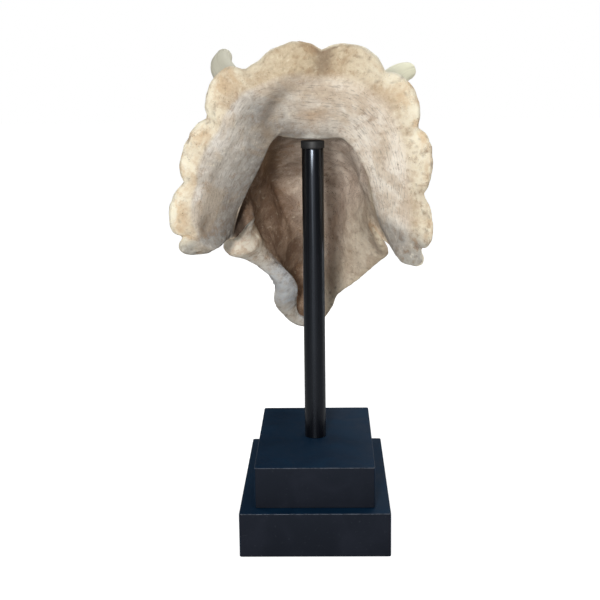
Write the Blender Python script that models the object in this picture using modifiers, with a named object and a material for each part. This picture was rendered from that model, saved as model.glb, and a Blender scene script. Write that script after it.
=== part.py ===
# Cast of a triceratops skull, without its lower jaw, on a steel pole and a stepped base.
# Metres, +Z up. The origin is the middle of the base's underside. The snout points to -Y.
# The skull is one thick sheet: an outer and an inner surface, each lofted through station
# curves that run round the head from one lower edge, over the roof, to the other.

import math

import bmesh
import bpy
import numpy as np
from mathutils import Euler, Matrix

MM = 0.001
INCH = 0.0254
GAP = 0.0003

# The base and the pole
LOWER_W, LOWER_D, LOWER_H = 10 * INCH, 16 * INCH, 3 * INCH
UPPER_W, UPPER_D, UPPER_H = 8 * INCH, 14 * INCH, 2.8 * INCH
EDGE_SOFT = 0.002
POLE_R = 0.75 * INCH
POLE_TOP = 0.667
COLLAR_R = 0.0205
COLLAR_TOP = 0.680
PAD_R = 0.0205
PAD_TOP = 0.712

# Where the head is: its own axes are x to its left, y back from the beak tip, z up over the roof
BEAK_TIP = (0.021, -0.410, 0.255)
NOSE_DOWN = math.radians(44)
HEAD_ROLL = math.radians(-3.36)

# Where the thin cuts between the parts of the head are, counted in station curves
BEAK_END = 2.0
SNOUT_END = 5.4
CRANIUM_END = 10.0
ROWS = {"beak": 5, "snout": 8, "cranium": 10, "frill": 12}

# Stations of the face, in mm in the head's axes: s is the distance behind the beak tip, mid the
# drift of the middle line, roof the height of the roof, then width and height of the brow,
# the side, the lower side and the edge, then the wall, the ledge at the edge on the left and on
# the right, and last how far the right edge flares out.
FACE = (
    # s, mid, roof, brow, side, low, edge, wall, ledge on the left and on the right, flare
    (30, 2, 57, (11, 50), (20, 28), (25, 6), (27, -8), 8, (12, 12), 0),
    (75, 6, 92, (22, 80), (38, 48), (46, 14), (50, -8), 16, (34, 14), -2),
    (115, 6, 108, (25, 92), (44, 56), (56, 18), (63, -10), 17, (46, 13), -4),
    (160, 5, 106, (30, 90), (50, 54), (60, 15), (63, -14), 16, (48, 12), 2),
    (215, -3, 112, (42, 98), (64, 58), (73, 14), (80, -17), 16, (46, 12), 10),
    (270, -2, 132, (60, 119), (86, 72), (97, 18), (114, -20), 18, (44, 13), 5),
    (330, 4, 156, (80, 148), (108, 88), (122, 30), (148, -29), 22, (42, 15), 0),
    (372, 3, 152, (86, 140), (118, 80), (128, 24), (140, -33), 20, (30, 17), 0),
    (415, 0, 138, (88, 124), (126, 62), (132, 12), (120, -28), 17, (16, 17), 0),
)
BEAK_FRONT = (6, 4)
CAVITY_FRONT = (46, -4)
CAVITY_SET_BACK = (32, 17, 7, 2, 0, 0, 0, 0, 3)
COLUMNS = (0.0, 0.25, 0.5, 0.75, 1.0)

# Extra thickness, in mm, of the right wall at each column, and the s where it starts and is full
RIGHT_FILL = (0, 10, 20, 14, 0)
FILL_START, FILL_FULL = 120, 330
RIGHT_FLARE = (0.0, 0.0, 0.0, 0.5, 1.0)

# Share of the wall by which the inside is drawn in at the brow, the side and the lower side, and
# how far, in mm, it is raised at the lower side and the edge
BROW_SHARE, SIDE_SHARE, LOW_SHARE = 0.8, 0.3, 1.1
LOW_LIFT, EDGE_LIFT = 2, 5

# Rings of the neck and the frill, in mm in the head's axes, from the middle line to the lower
# end: half width, mid, s, height. The rim's points are its notches.
RING = (0.0, 0.2, 0.4, 0.6, 0.8, 1.0)
LIP = (
    (0, 7, 608, 10), (52, 8, 606, 18), (88, 1, 561, -6),
    (109, 2, 518, -30), (124, 4, 475, -58), (139, 0, 440, -80),
)
NECK = (
    (0, 4, 562, 86), (72, 4, 556, 78), (118, 3, 526, 42),
    (140, 3, 489, 6), (148, 3, 455, -28), (137, 0, 428, -66),
)
RIM = (
    (0, -4, 739, 89), (116, 6, 719, 63), (175, 6, 655, 2),
    (201, 15, 573, -71), (203, 14, 496, -128), (170, 8, 457, -131),
)
CREASE_BUMP = ((-1.0, 14.0), (-0.35, 18.0), (0.0, 26.0), (0.3, 32.0), (1.0, 34.0))
CREASE_SHAPE = ((0.0, 0.0), (0.17, 0.38), (0.34, 0.66), (0.51, 0.87), (0.68, 1.0), (0.84, 0.62), (1.0, 0.14))
FRILL_WALL = ((0.0, 30.0), (0.35, 20.0), (0.66, 17.0), (1.0, 14.0))
FRONT_LEAN = 2.0
SCALLOP_BULGE = 19
SCALLOP_ROUND = 2.5
SCALLOP_START = 0.45
LOBES_LEFT = (0.72, 1.0, 1.0, 1.0, 1.0)
LOBES_RIGHT = (0.78, 1.0, 1.0, 1.0, 1.0)
NOTCHES_LEFT = (0.0, 0.2, 0.4, 0.6, 0.8, 1.0)
CHIP_AT = 0.157
CHIP_HALF = 0.045
CHIP_DEPTH = 0.75
NOTCHES_RIGHT = (0.0, 0.2, 0.4, 0.6, 0.8, 1.0)
FRONT_U = (0.36, 0.52, 0.68, 0.84, 1.0)
BACK_U = (0.0, 0.17, 0.34, 0.51, 0.68, 0.84, 1.0)
LIP_ROLL_MIDDLE = (27, 33)
LIP_ROLL_SIDE = (14, 18)
LIP_ROLL_END = (5, -6)
ARCH_END = 0.45
LIP_OPEN_RIGHT = ((-1.0, 17.0), (-0.5, 17.0), (-0.25, 0.0), (1.0, 0.0))
NECK_WALL = ((-1.0, 30.0), (-0.75, 44.0), (-0.5, 46.0), (-0.3, 28.0), (-0.15, 17.0), (1.0, 17.0))
END_WALL_LEFT, END_WALL_RIGHT = 11, 24
END_SHARPNESS = 6
NECK_CENTRE = (4.0, 500.0, -10.0)
NECK_FORWARD = 10
END_DROP = 4

# Horns, in mm in the head's axes: points of the middle line and the radius at each
HORN_LEFT = (
    ((74, 346, 138), 34), ((90, 356, 186), 34), ((119, 366, 249), 34),
    ((151, 371, 308), 32), ((182, 371, 358), 27), ((202, 365, 402), 22.5), ((200, 359, 430), 17),
)
HORN_RIGHT = (
    ((-74, 346, 138), 34), ((-84, 358, 186), 33), ((-96, 378, 253), 30),
    ((-115, 388, 311), 27), ((-142, 384, 358), 24), ((-165, 375, 391), 22), ((-180, 366, 408), 18.5),
)
HORN_NOSE = (((5, 122, 84), 25), ((5, 112, 112), 20), ((5, 99, 140), 13), ((4, 88, 162), 4))
HORN_STUMP = 0.2
NOSE_STUMP = 0.34

# Hollows pressed into the outside: middle, half sizes in mm, for the left; the right is mirrored
ORBIT = ((116, 326, 86), (16, 27, 24))
NARIS = ((50, 122, 58), (14, 27, 19))
TEMPLE = ((126, 392, 30), (12, 18, 26))

COLUMN_COUNT = 50
EDGE_STEPS = 3
RIM_FULLNESS = 0.32
SIDE_FULLNESS = 0.2
HORN_SIDES = 14
HORN_RINGS = 9
STUMP_RINGS = 3
TANGENT_STEP = 0.1
ROUND_SIDES = 32
PAD_SIDES = 28
BALL_SIDES, BALL_RINGS = 14, 9
SHARP_ANGLE = math.radians(40)
COLLAR_SOFT = 0.0015
SOFT_STEPS = 2
WELD = 0.00002
FINE_ROWS = 200

BONE = (0.62, 0.56, 0.47, 1.0)
BONE_DARK = (0.47, 0.41, 0.34, 1.0)
HORN_BONE = (0.68, 0.66, 0.54, 1.0)
BASE_BLACK = (0.016, 0.019, 0.026, 1.0)
POLE_BLACK = (0.012, 0.012, 0.014, 1.0)
COLLAR_GREY = (0.05, 0.052, 0.055, 1.0)
BONE_ROUGH, BASE_ROUGH, POLE_ROUGH, COLLAR_ROUGH = 0.9, 0.35, 0.3, 0.7


def clear_scene():
    """Removes every object that the scene starts with."""
    for obj in list(bpy.data.objects):
        bpy.data.objects.remove(obj, do_unlink=True)


def new_collection(name):
    """Adds a collection to the scene."""
    group = bpy.data.collections.new(name)
    bpy.context.scene.collection.children.link(group)
    return group


def material(name, colour, roughness):
    """One Principled material."""
    mat = bpy.data.materials.new(name)
    mat.use_nodes = True
    shader = mat.node_tree.nodes["Principled BSDF"]
    shader.inputs["Base Color"].default_value = colour
    shader.inputs["Roughness"].default_value = roughness
    mat.diffuse_color = colour
    return mat


def cubic(knots, values, at):
    """Natural cubic through values at the knots, read at the given places."""
    x = np.asarray(knots, float)
    y = np.asarray(values, float)
    n = len(x)
    h = np.diff(x)
    system = np.eye(n)
    right = np.zeros_like(y)
    for i in range(1, n - 1):
        system[i, i - 1:i + 2] = h[i - 1], 2 * (h[i - 1] + h[i]), h[i]
        right[i] = 6 * ((y[i + 1] - y[i]) / h[i] - (y[i] - y[i - 1]) / h[i - 1])
    bend = np.linalg.solve(system, right.reshape(n, -1)).reshape(y.shape)
    at = np.asarray(at, float)
    i = np.clip(np.searchsorted(x, at) - 1, 0, n - 2)
    extra = (1,) * (y.ndim - 1)
    step = h[i].reshape(at.shape + extra)
    a = ((x[i + 1] - at) / h[i]).reshape(at.shape + extra)
    b = 1 - a
    curve = ((a ** 3 - a) * bend[i] + (b ** 3 - b) * bend[i + 1]) * step ** 2 / 6
    return a * y[i] + b * y[i + 1] + curve


def both_sides(places, left, right, rest, theta):
    """A curve round the head: x is given for the left and the right, s and height for both."""
    places = np.asarray(places, float)
    rest = np.asarray(rest, float)
    knots = np.concatenate([-places[:0:-1], places])
    x = np.concatenate([np.asarray(right, float)[:0:-1], np.asarray(left, float)])
    others = np.concatenate([rest[:0:-1], rest])
    return cubic(knots, np.column_stack([x, others]), theta)


def ring(points, theta):
    """A neck or frill ring from its (half width, mid, s, height) points."""
    data = np.asarray(points, float)
    return both_sides(RING, data[:, 1] + data[:, 0], data[:, 1] - data[:, 0], data[:, 2:], theta)


def face_section(station, theta, inside, set_back):
    """One station curve of the face: the outside, or the wall's inside."""
    s, mid, roof, brow, side, low, edge, wall, ledges, flare = station
    width = [0, brow[0], side[0], low[0], edge[0]]
    height = [roof, brow[1], side[1], low[1], edge[1]]
    left = right = width
    if inside:
        drawn = [0, brow[0] - BROW_SHARE * wall, side[0] - wall, low[0] - LOW_SHARE * wall]
        left, right = [drawn + [edge[0] - ledge] for ledge in ledges]
        fill = np.clip((s - FILL_START) / (FILL_FULL - FILL_START), 0, 1)
        right = np.array(right, float) - fill * np.array(RIGHT_FILL, float)
        height = [roof - wall, brow[1] - wall, side[1] - SIDE_SHARE * wall]
        height += [low[1] + LOW_LIFT, edge[1] + EDGE_LIFT]
    right = np.array(right, float) + flare * np.array(RIGHT_FLARE)
    rest = np.column_stack([np.full(5, s + set_back), height])
    return both_sides(COLUMNS, mid + np.array(left, float), mid - right, rest, theta)


def scallops(theta):
    """How far the rim bulges past its notches' line, 1 for a full scallop, less at the chip."""
    bulge = np.zeros_like(theta)
    for sign, notches, sizes in ((1, NOTCHES_LEFT, LOBES_LEFT), (-1, NOTCHES_RIGHT, LOBES_RIGHT)):
        for start, end, size in zip(notches[:-1], notches[1:], sizes):
            inside = (theta * sign >= start) & (theta * sign <= end)
            along = (theta * sign - start) / (end - start)
            arc = size * (1 - np.abs(2 * along - 1) ** SCALLOP_ROUND)
            bulge = np.where(inside, arc, bulge)
    return bulge - CHIP_DEPTH * np.exp(-((theta - CHIP_AT) / CHIP_HALF) ** 2)


def unit(vectors):
    """Vectors scaled to length 1."""
    length = np.linalg.norm(vectors, axis=-1, keepdims=True)
    return vectors / np.maximum(length, 1e-9)


def frill_back(u, theta):
    """The frill's rear surface: a straight line from lip to rim, plus the crease and scallops."""
    lip = ring(LIP, theta)[None]
    rim = ring(RIM, theta)[None]
    towards_back = np.array([0.0, math.cos(NOSE_DOWN), -math.sin(NOSE_DOWN)])
    shape = np.interp(u, *zip(*CREASE_SHAPE))[:, None, None]
    rise = np.clip((u - SCALLOP_START) / (1 - SCALLOP_START), 0, 1)[:, None, None] ** 2
    outward = unit(rim - lip)
    bulge = SCALLOP_BULGE * scallops(theta)[None, :, None] * rise
    line = lip + (rim - lip) * u[:, None, None]
    height = np.interp(theta, *zip(*CREASE_BUMP))[None, :, None]
    return line + height * shape * towards_back + bulge * outward


def frill_front(u, theta):
    """The frill's front surface: the rear one moved forward by the frill's wall."""
    back = frill_back(u, theta)
    along = np.gradient(back, axis=0)
    across = np.gradient(back, axis=1)
    normal = unit(np.cross(across, along))
    forward = np.array([0.0, -math.cos(NOSE_DOWN), math.sin(NOSE_DOWN)])
    normal = unit(normal * np.sign(np.sum(normal * forward, -1, keepdims=True)) + FRONT_LEAN * forward)
    wall = np.interp(u, *zip(*FRILL_WALL))[:, None, None]
    return back + normal * wall


def outer_stations(theta):
    """Station curves of the outside, from the beak tip to the rim."""
    tip = np.tile([0.0, BEAK_FRONT[0], BEAK_FRONT[1]], (len(theta), 1))
    face = [face_section(row, theta, False, 0) for row in FACE]
    front = frill_front(np.array(FRONT_U), theta)
    return np.array([tip] + face + [ring(NECK, theta)] + list(front))


def inner_stations(theta):
    """Station curves of the inside, from the front of the cavity over the lip to the rim."""
    tip = np.tile([0.0, CAVITY_FRONT[0], CAVITY_FRONT[1]], (len(theta), 1))
    face = [face_section(row, theta, True, back) for row, back in zip(FACE, CAVITY_SET_BACK)]
    neck = ring(NECK, theta)
    lip = ring(LIP, theta)
    centre = np.array(NECK_CENTRE)
    inward = unit((centre - neck) * [1, 0, 1])
    outward = -unit((centre - lip) * [1, 0, 1])
    end = np.abs(theta)[:, None] ** END_SHARPNESS
    thick = np.interp(theta, *zip(*NECK_WALL))[:, None]
    end_wall = np.where(theta < 0, END_WALL_RIGHT, END_WALL_LEFT)[:, None]
    inner_neck = neck + inward * (thick * (1 - end) + end_wall * end)
    inner_neck[:, 1] -= NECK_FORWARD * (1 - end[:, 0])
    inner_neck[:, 2] -= END_DROP * end[:, 0]
    middle = np.cos(np.clip(theta / ARCH_END, -1, 1) * np.pi / 2)[:, None] ** 2
    ahead, out = [side + (top - side) * middle for side, top in zip(LIP_ROLL_SIDE, LIP_ROLL_MIDDLE)]
    out = out - np.interp(theta, *zip(*LIP_OPEN_RIGHT))[:, None]
    ahead, out = [part * (1 - end) + last * end for part, last in zip((ahead, out), LIP_ROLL_END)]
    roll = lip + outward * out + np.array([0.0, -1.0, 0.0]) * ahead
    back = frill_back(np.array(BACK_U), theta)
    return np.array([tip] + face + [inner_neck, roll] + list(back))


def loft(stations, places):
    """Rows of a smooth surface through the station curves, at places counted in stations."""
    steps = np.linalg.norm(np.diff(stations, axis=0), axis=-1).mean(axis=1)
    knots = np.concatenate([[0], np.cumsum(np.sqrt(steps))])
    at = np.interp(places, np.arange(len(knots)), knots)
    return cubic(knots, stations, at)


def even(stations, start, end, rows):
    """Row places from start to end, counted in stations, about evenly spaced on the surface."""
    fine = np.linspace(start, end, FINE_ROWS)
    steps = np.linalg.norm(np.diff(loft(stations, fine), axis=0), axis=-1).mean(axis=1)
    length = np.concatenate([[0], np.cumsum(steps)])
    return np.interp(np.linspace(0, length[-1], rows), length, fine)


def cut_shift(outer, inner, row, step):
    """Moves a border row off the cut along the cut's own normal."""
    across = np.gradient(outer[row], axis=0)
    normal = unit(np.cross(across, inner[row] - outer[row]))
    forward = outer[row] - outer[row + (1 if row == 0 else -1)]
    normal = normal * np.sign(np.sum(normal * forward, -1, keepdims=True))
    outer[row] -= normal * step
    inner[row] -= normal * step


def sheet_mesh(outer, inner, steps, start, end):
    """Points and faces of a thick sheet. Its start is a point or a flat cut, its end a cut or round."""
    share = np.linspace(0, 1, steps + 2)[1:-1]
    points = []
    faces = []

    def add(block):
        first = sum(len(p) for p in points)
        points.append(block.reshape(-1, 3))
        return first + np.arange(len(points[-1])).reshape(block.shape[:-1])

    def edge(a, b, out, fullness):
        width = np.linalg.norm(b - a, axis=-1, keepdims=True)[:, None]
        line = a[:, None] + (b - a)[:, None] * share[None, :, None]
        swell = np.sin(np.pi * share)[None, :, None] * width * fullness
        return line + out[:, None] * swell

    def quads(index):
        a, b, c, d = index[:-1, :-1], index[1:, :-1], index[1:, 1:], index[:-1, 1:]
        faces.extend(np.stack([a, b, c, d], -1).reshape(-1, 4).tolist())

    def flat(row):
        top, bottom = out_index[row], in_index[row]
        for a, b, c, d in zip(top[:-1], top[1:], bottom[1:], bottom[:-1]):
            faces.extend([[a, b, c], [a, c, d]])
        faces.append([top[-1], *right[row], bottom[-1]])
        faces.append([bottom[0], *left[row], top[0]])

    out_index, in_index = add(outer), add(inner)
    right = add(edge(outer[:, -1], inner[:, -1], unit(outer[:, -1] - outer[:, -2]), SIDE_FULLNESS))
    left = add(edge(inner[:, 0], outer[:, 0], unit(outer[:, 0] - outer[:, 1]), SIDE_FULLNESS))
    quads(out_index)
    quads(in_index[:, ::-1])
    quads(np.concatenate([out_index[:, -1:], right, in_index[:, -1:]], 1))
    quads(np.concatenate([in_index[:, :1], left, out_index[:, :1]], 1))
    if start == "cut":
        flat(0)
    if end == "cut":
        flat(-1)
    else:
        rim = add(edge(outer[-1], inner[-1], unit(outer[-1] - outer[-2]), RIM_FULLNESS))
        rim[0] = left[-1][::-1]
        rim[-1] = right[-1]
        quads(np.concatenate([out_index[-1][:, None], rim, in_index[-1][:, None]], 1).T)
    return np.concatenate(points), faces


def mesh_object(name, points, faces, group):
    """A mesh object from points in metres: doubles welded, faces split alike and turned out."""
    work = bmesh.new()
    verts = [work.verts.new(p) for p in points]
    for face in faces:
        corners = [verts[i] for i in dict.fromkeys(face)]
        if len(corners) > 2:
            work.faces.new(corners)
    bmesh.ops.remove_doubles(work, verts=work.verts, dist=WELD)
    loose = [v for v in work.verts if not v.link_faces]
    bmesh.ops.delete(work, geom=loose, context="VERTS")
    bmesh.ops.triangulate(work, faces=work.faces, quad_method="SHORT_EDGE")
    bmesh.ops.recalc_face_normals(work, faces=work.faces)
    return finish(work, name, group)


def finish(work, name, group):
    """Turns a bmesh into an object of the given collection."""
    mesh = bpy.data.meshes.new(name)
    work.to_mesh(mesh)
    work.free()
    obj = bpy.data.objects.new(name, mesh)
    group.objects.link(obj)
    return obj


def head_matrix():
    """From the head's own axes to the world."""
    turn = Euler((NOSE_DOWN, HEAD_ROLL, 0.0), "XYZ").to_matrix().to_4x4()
    return Matrix.Translation(BEAK_TIP) @ turn


def place_on_head(obj):
    """Gives an object that is modelled in the head's axes its place in the world."""
    obj.data.transform(head_matrix())
    return obj


def sheet_piece(name, outer, inner, outer_span, inner_span, group):
    """One length of the skull's sheet, between two cuts or a cut and an end."""
    start = "cut" if outer_span[0] > 0 else "point"
    end = "round" if name == "frill" else "cut"
    rows = ROWS[name]
    outer = loft(outer, even(outer, *outer_span, rows)) * MM
    inner = loft(inner, even(inner, *inner_span, rows)) * MM
    if start == "cut":
        cut_shift(outer, inner, 0, GAP / 2)
    if end == "cut":
        cut_shift(outer, inner, -1, GAP / 2)
    points, faces = sheet_mesh(outer, inner, EDGE_STEPS, start, end)
    return place_on_head(mesh_object(name, points, faces, group))


def horn(name, path, start, end, rings, group):
    """A length of a tapering horn: circles carried along a smooth line, closed at both ends."""
    points = np.array([p for p, _ in path], float)
    radii = np.array([r for _, r in path], float)
    knots = np.concatenate([[0], np.cumsum(np.linalg.norm(np.diff(points, axis=0), axis=1))])
    at = np.linspace(start, end, rings) * knots[-1]
    middle = cubic(knots, points, at)
    radius = cubic(knots, radii, at)
    ahead = cubic(knots, points, at + TANGENT_STEP)
    tangent = unit(ahead - cubic(knots, points, at - TANGENT_STEP))
    side = unit(np.cross(tangent, [0.0, 1.0, 0.0]))
    other = np.cross(tangent, side)
    angle = np.linspace(0, 2 * np.pi, HORN_SIDES, endpoint=False)
    circle = np.cos(angle)[None, :, None] * side[:, None] + np.sin(angle)[None, :, None] * other[:, None]
    tube = (middle[:, None] + circle * radius[:, None, None]) * MM
    work = bmesh.new()
    loops = [[work.verts.new(p) for p in loop] for loop in tube]
    for low, high in zip(loops[:-1], loops[1:]):
        for i in range(HORN_SIDES):
            j = (i + 1) % HORN_SIDES
            work.faces.new((low[i], low[j], high[j], high[i]))
    work.faces.new(loops[0][::-1])
    if end < 1:
        work.faces.new(loops[-1])
    else:
        tip = work.verts.new((middle[-1] + tangent[-1] * radius[-1]) * MM)
        for i in range(HORN_SIDES):
            work.faces.new((loops[-1][i], loops[-1][(i + 1) % HORN_SIDES], tip))
    bmesh.ops.triangulate(work, faces=work.faces)
    bmesh.ops.recalc_face_normals(work, faces=work.faces)
    return place_on_head(finish(work, name, group))


def path_length(path):
    """Length of a horn's middle line, in metres."""
    points = np.array([p for p, _ in path], float)
    return np.linalg.norm(np.diff(points, axis=0), axis=1).sum() * MM


def ball(name, centre, half, sign, group):
    """An ellipsoid in the head's axes, on the left for sign 1 and on the right for sign -1."""
    work = bmesh.new()
    bmesh.ops.create_uvsphere(work, u_segments=BALL_SIDES, v_segments=BALL_RINGS, radius=1.0)
    obj = finish(work, name, group)
    place = Matrix.Translation((sign * centre[0] * MM, centre[1] * MM, centre[2] * MM))
    size = Matrix.Diagonal((half[0] * MM, half[1] * MM, half[2] * MM, 1.0))
    obj.data.transform(place @ size)
    return place_on_head(obj)


def pole_pad(group):
    """The bit of cast over the pole's collar, which levels the arch of the neck there."""
    work = bmesh.new()
    height = PAD_TOP - COLLAR_TOP - GAP
    bmesh.ops.create_cone(
        work, cap_ends=True, segments=PAD_SIDES, radius1=PAD_R, radius2=PAD_R, depth=height)
    obj = finish(work, "pole_pad", group)
    obj.data.transform(Matrix.Translation((0, 0, PAD_TOP - height / 2)))
    return obj


def boolean(target, operation, tools):
    """Joins or cuts a mesh with each of the tools, applies the result and splits it alike."""
    for tool in tools:
        step = target.modifiers.new(operation.title(), "BOOLEAN")
        step.operation = operation
        step.object = tool
        step.solver = "MANIFOLD"
    bpy.context.view_layer.update()
    graph = bpy.context.evaluated_depsgraph_get()
    mesh = bpy.data.meshes.new_from_object(target.evaluated_get(graph))
    target.modifiers.clear()
    old = target.data
    target.data = mesh
    bpy.data.meshes.remove(old)
    for tool in tools:
        bpy.data.objects.remove(tool, do_unlink=True)
    work = bmesh.new()
    work.from_mesh(mesh)
    bmesh.ops.triangulate(work, faces=work.faces)
    work.to_mesh(mesh)
    work.free()


def build_skull(group):
    """The four lengths of the skull's sheet, the three horns, and the hollows of the face."""
    theta = np.linspace(-1, 1, COLUMN_COUNT + 1)
    outer = outer_stations(theta)
    inner = inner_stations(theta)
    beak = sheet_piece("beak", outer, inner, (0, BEAK_END), (0, BEAK_END), group)
    snout = sheet_piece("snout", outer, inner, (BEAK_END, SNOUT_END), (BEAK_END, SNOUT_END), group)
    middle = (SNOUT_END, CRANIUM_END)
    cranium = sheet_piece("cranium", outer, inner, middle, middle, group)
    outer_span = (CRANIUM_END, len(outer) - 1)
    inner_span = (CRANIUM_END, len(inner) - 1)
    frill = sheet_piece("frill", outer, inner, outer_span, inner_span, group)
    horns = []
    for name, path, share, host in (
        ("horn_brow_left", HORN_LEFT, HORN_STUMP, cranium),
        ("horn_brow_right", HORN_RIGHT, HORN_STUMP, cranium),
        ("horn_nose", HORN_NOSE, NOSE_STUMP, snout),
    ):
        step = GAP / path_length(path)
        boolean(host, "UNION", [horn("stump", path, 0, share, STUMP_RINGS, group)])
        horns.append(horn(name, path, share + step, 1, HORN_RINGS, group))
    boolean(frill, "UNION", [pole_pad(group)])
    boolean(snout, "DIFFERENCE", [ball("naris", *NARIS, sign, group) for sign in (1, -1)])
    for size in (ORBIT, TEMPLE):
        boolean(cranium, "DIFFERENCE", [ball("hollow", *size, sign, group) for sign in (1, -1)])
    finish_bone(frill, "frill_bone", BONE)
    finish_bone(cranium, "cranium_bone", BONE)
    finish_bone(snout, "snout_bone", BONE_DARK)
    finish_bone(beak, "beak_bone", BONE)
    for obj in horns:
        finish_bone(obj, obj.name + "_bone", HORN_BONE)


def finish_bone(obj, name, colour):
    """Gives a piece of the cast its material and its shading."""
    obj.data.materials.clear()
    obj.data.materials.append(material(name, colour, BONE_ROUGH))
    obj.data.shade_smooth()
    obj.data.set_sharp_from_angle(angle=SHARP_ANGLE)


def box_piece(name, size, centre, colour, group):
    """A block with softened edges."""
    bpy.ops.mesh.primitive_cube_add(size=1.0)
    obj = bpy.context.object
    obj.name = name
    obj.data.name = name
    obj.data.transform(Matrix.Diagonal((*size, 1.0)))
    obj.location = centre
    soften = obj.modifiers.new("Bevel", "BEVEL")
    soften.width = EDGE_SOFT
    soften.segments = SOFT_STEPS
    obj.data.materials.append(material(name + "_black", colour, BASE_ROUGH))
    move_to(obj, group)
    return obj


def move_to(obj, group):
    """Takes an object out of its collections and puts it in this one."""
    for old in list(obj.users_collection):
        old.objects.unlink(obj)
    group.objects.link(obj)


def round_piece(name, radius, bottom, top, colour, roughness, soft, group):
    """A turned rod or ring with softened ends, standing on the middle axis."""
    bpy.ops.mesh.primitive_cylinder_add(vertices=ROUND_SIDES, radius=radius, depth=top - bottom)
    obj = bpy.context.object
    obj.name = name
    obj.data.name = name
    obj.location = (0, 0, (top + bottom) / 2)
    if soft:
        soften = obj.modifiers.new("Bevel", "BEVEL")
        soften.width = soft
        soften.segments = SOFT_STEPS
        soften.limit_method = "ANGLE"
    obj.data.materials.append(material(name + "_finish", colour, roughness))
    obj.data.shade_smooth()
    obj.data.set_sharp_from_angle(angle=SHARP_ANGLE)
    move_to(obj, group)
    return obj


def build_stand(group):
    """The two tiers of the base, the pole and its collar."""
    upper_bottom = LOWER_H + GAP
    upper_top = upper_bottom + UPPER_H
    lower = (LOWER_W, LOWER_D, LOWER_H)
    upper = (UPPER_W, UPPER_D, UPPER_H)
    box_piece("stand_plinth_lower", lower, (0, 0, LOWER_H / 2), BASE_BLACK, group)
    box_piece("stand_plinth_upper", upper, (0, 0, upper_bottom + UPPER_H / 2), BASE_BLACK, group)
    round_piece("stand_pole", POLE_R, upper_top + GAP, POLE_TOP - GAP, POLE_BLACK, POLE_ROUGH, 0, group)
    collar_look = (COLLAR_GREY, COLLAR_ROUGH, COLLAR_SOFT)
    round_piece("stand_collar", COLLAR_R, POLE_TOP, COLLAR_TOP, *collar_look, group)


def main():
    clear_scene()
    skull_parts = new_collection("triceratops_skull_on_stand")
    build_stand(skull_parts)
    build_skull(skull_parts)


main()
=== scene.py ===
"""Cast of a triceratops skull on a black pole and a stepped base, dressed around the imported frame.

The cast is one fine skin worked out from the same station curves as the solids, with its relief
moved along the normals. Each horn, the pole, the collar and the plinths are surfaces of their own.

Each point of the skin keeps its place, at, counted in stations from 0 at the beak's tip to the last
at the rim, inside, from 0 on the outer sheet to 1 on the inner one, and theta, from -1 at the right
lower edge to 1 at the left one.
"""

import math
from types import SimpleNamespace

import bpy
import numpy as np
from mathutils import Matrix, Vector


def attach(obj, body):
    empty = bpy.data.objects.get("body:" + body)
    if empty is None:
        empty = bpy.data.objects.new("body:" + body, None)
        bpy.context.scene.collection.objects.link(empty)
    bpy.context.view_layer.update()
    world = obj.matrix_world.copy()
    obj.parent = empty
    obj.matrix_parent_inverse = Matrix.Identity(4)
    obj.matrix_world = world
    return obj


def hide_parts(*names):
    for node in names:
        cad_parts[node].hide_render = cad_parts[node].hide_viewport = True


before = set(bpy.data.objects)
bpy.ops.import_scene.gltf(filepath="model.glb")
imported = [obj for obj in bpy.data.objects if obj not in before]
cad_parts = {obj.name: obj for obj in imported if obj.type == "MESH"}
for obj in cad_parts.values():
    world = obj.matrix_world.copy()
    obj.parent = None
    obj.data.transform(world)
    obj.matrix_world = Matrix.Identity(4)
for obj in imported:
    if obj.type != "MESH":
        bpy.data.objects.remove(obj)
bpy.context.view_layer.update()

MM = 0.001
INCH = 0.0254

# Base and pole, in metres, as in the solids
LOWER_BLOCK = (10 * INCH, 16 * INCH, 3 * INCH)
UPPER_BLOCK = (8 * INCH, 14 * INCH, 2.8 * INCH)
BLOCK_GAP = 0.0003
POLE_RADIUS = 0.75 * INCH
POLE_TOP = 0.667
COLLAR_RADIUS = 0.0205
COLLAR_TOP = 0.680

# Softened edges, in metres, the angle in degrees that stays sharp, and sides of a turned piece
BLOCK_SOFT, BLOCK_CORNER = 0.0016, 0.0035
BLOCK_SHARP = 50
POLE_SOFT = 0.0003
COLLAR_SOFT = 0.0012
TURNED_SIDES = 96

# The head's own axes: x to its left, s back from the beak tip, h up over the roof, in mm
BEAK_TIP = np.array([0.021, -0.410, 0.255])
NOSE_DOWN = math.radians(44)
HEAD_ROLL = math.radians(-3.36)
BACKWARD = np.array([0.0, math.cos(NOSE_DOWN), -math.sin(NOSE_DOWN)])

# Stations of the face, as in the solids
FACE = (
    # s, mid, roof, brow, side, low, edge, wall, ledge on the left and on the right, flare
    (30, 2, 57, (11, 50), (20, 28), (25, 6), (27, -8), 8, (12, 12), 0),
    (75, 6, 92, (22, 80), (38, 48), (46, 14), (50, -8), 16, (34, 14), -2),
    (115, 6, 108, (25, 92), (44, 56), (56, 18), (63, -10), 17, (46, 13), -4),
    (160, 5, 106, (30, 90), (50, 54), (60, 15), (63, -14), 16, (48, 12), 2),
    (215, -3, 112, (42, 98), (64, 58), (73, 14), (80, -17), 16, (46, 12), 10),
    (270, -2, 132, (60, 119), (86, 72), (97, 18), (114, -20), 18, (44, 13), 5),
    (330, 4, 156, (80, 148), (108, 88), (122, 30), (148, -29), 22, (42, 15), 0),
    (372, 3, 152, (86, 140), (118, 80), (128, 24), (140, -33), 20, (30, 17), 0),
    (415, 0, 138, (88, 124), (126, 62), (132, 12), (120, -28), 17, (16, 17), 0),
)
BEAK_FRONT = (6, 4)
CAVITY_FRONT = (46, -4)
CAVITY_SET_BACK = (32, 17, 7, 2, 0, 0, 0, 0, 3)
COLUMNS = (0.0, 0.25, 0.5, 0.75, 1.0)
RIGHT_FILL = (0, 10, 20, 14, 0)
RIGHT_FLARE = (0.0, 0.0, 0.0, 0.5, 1.0)
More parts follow.
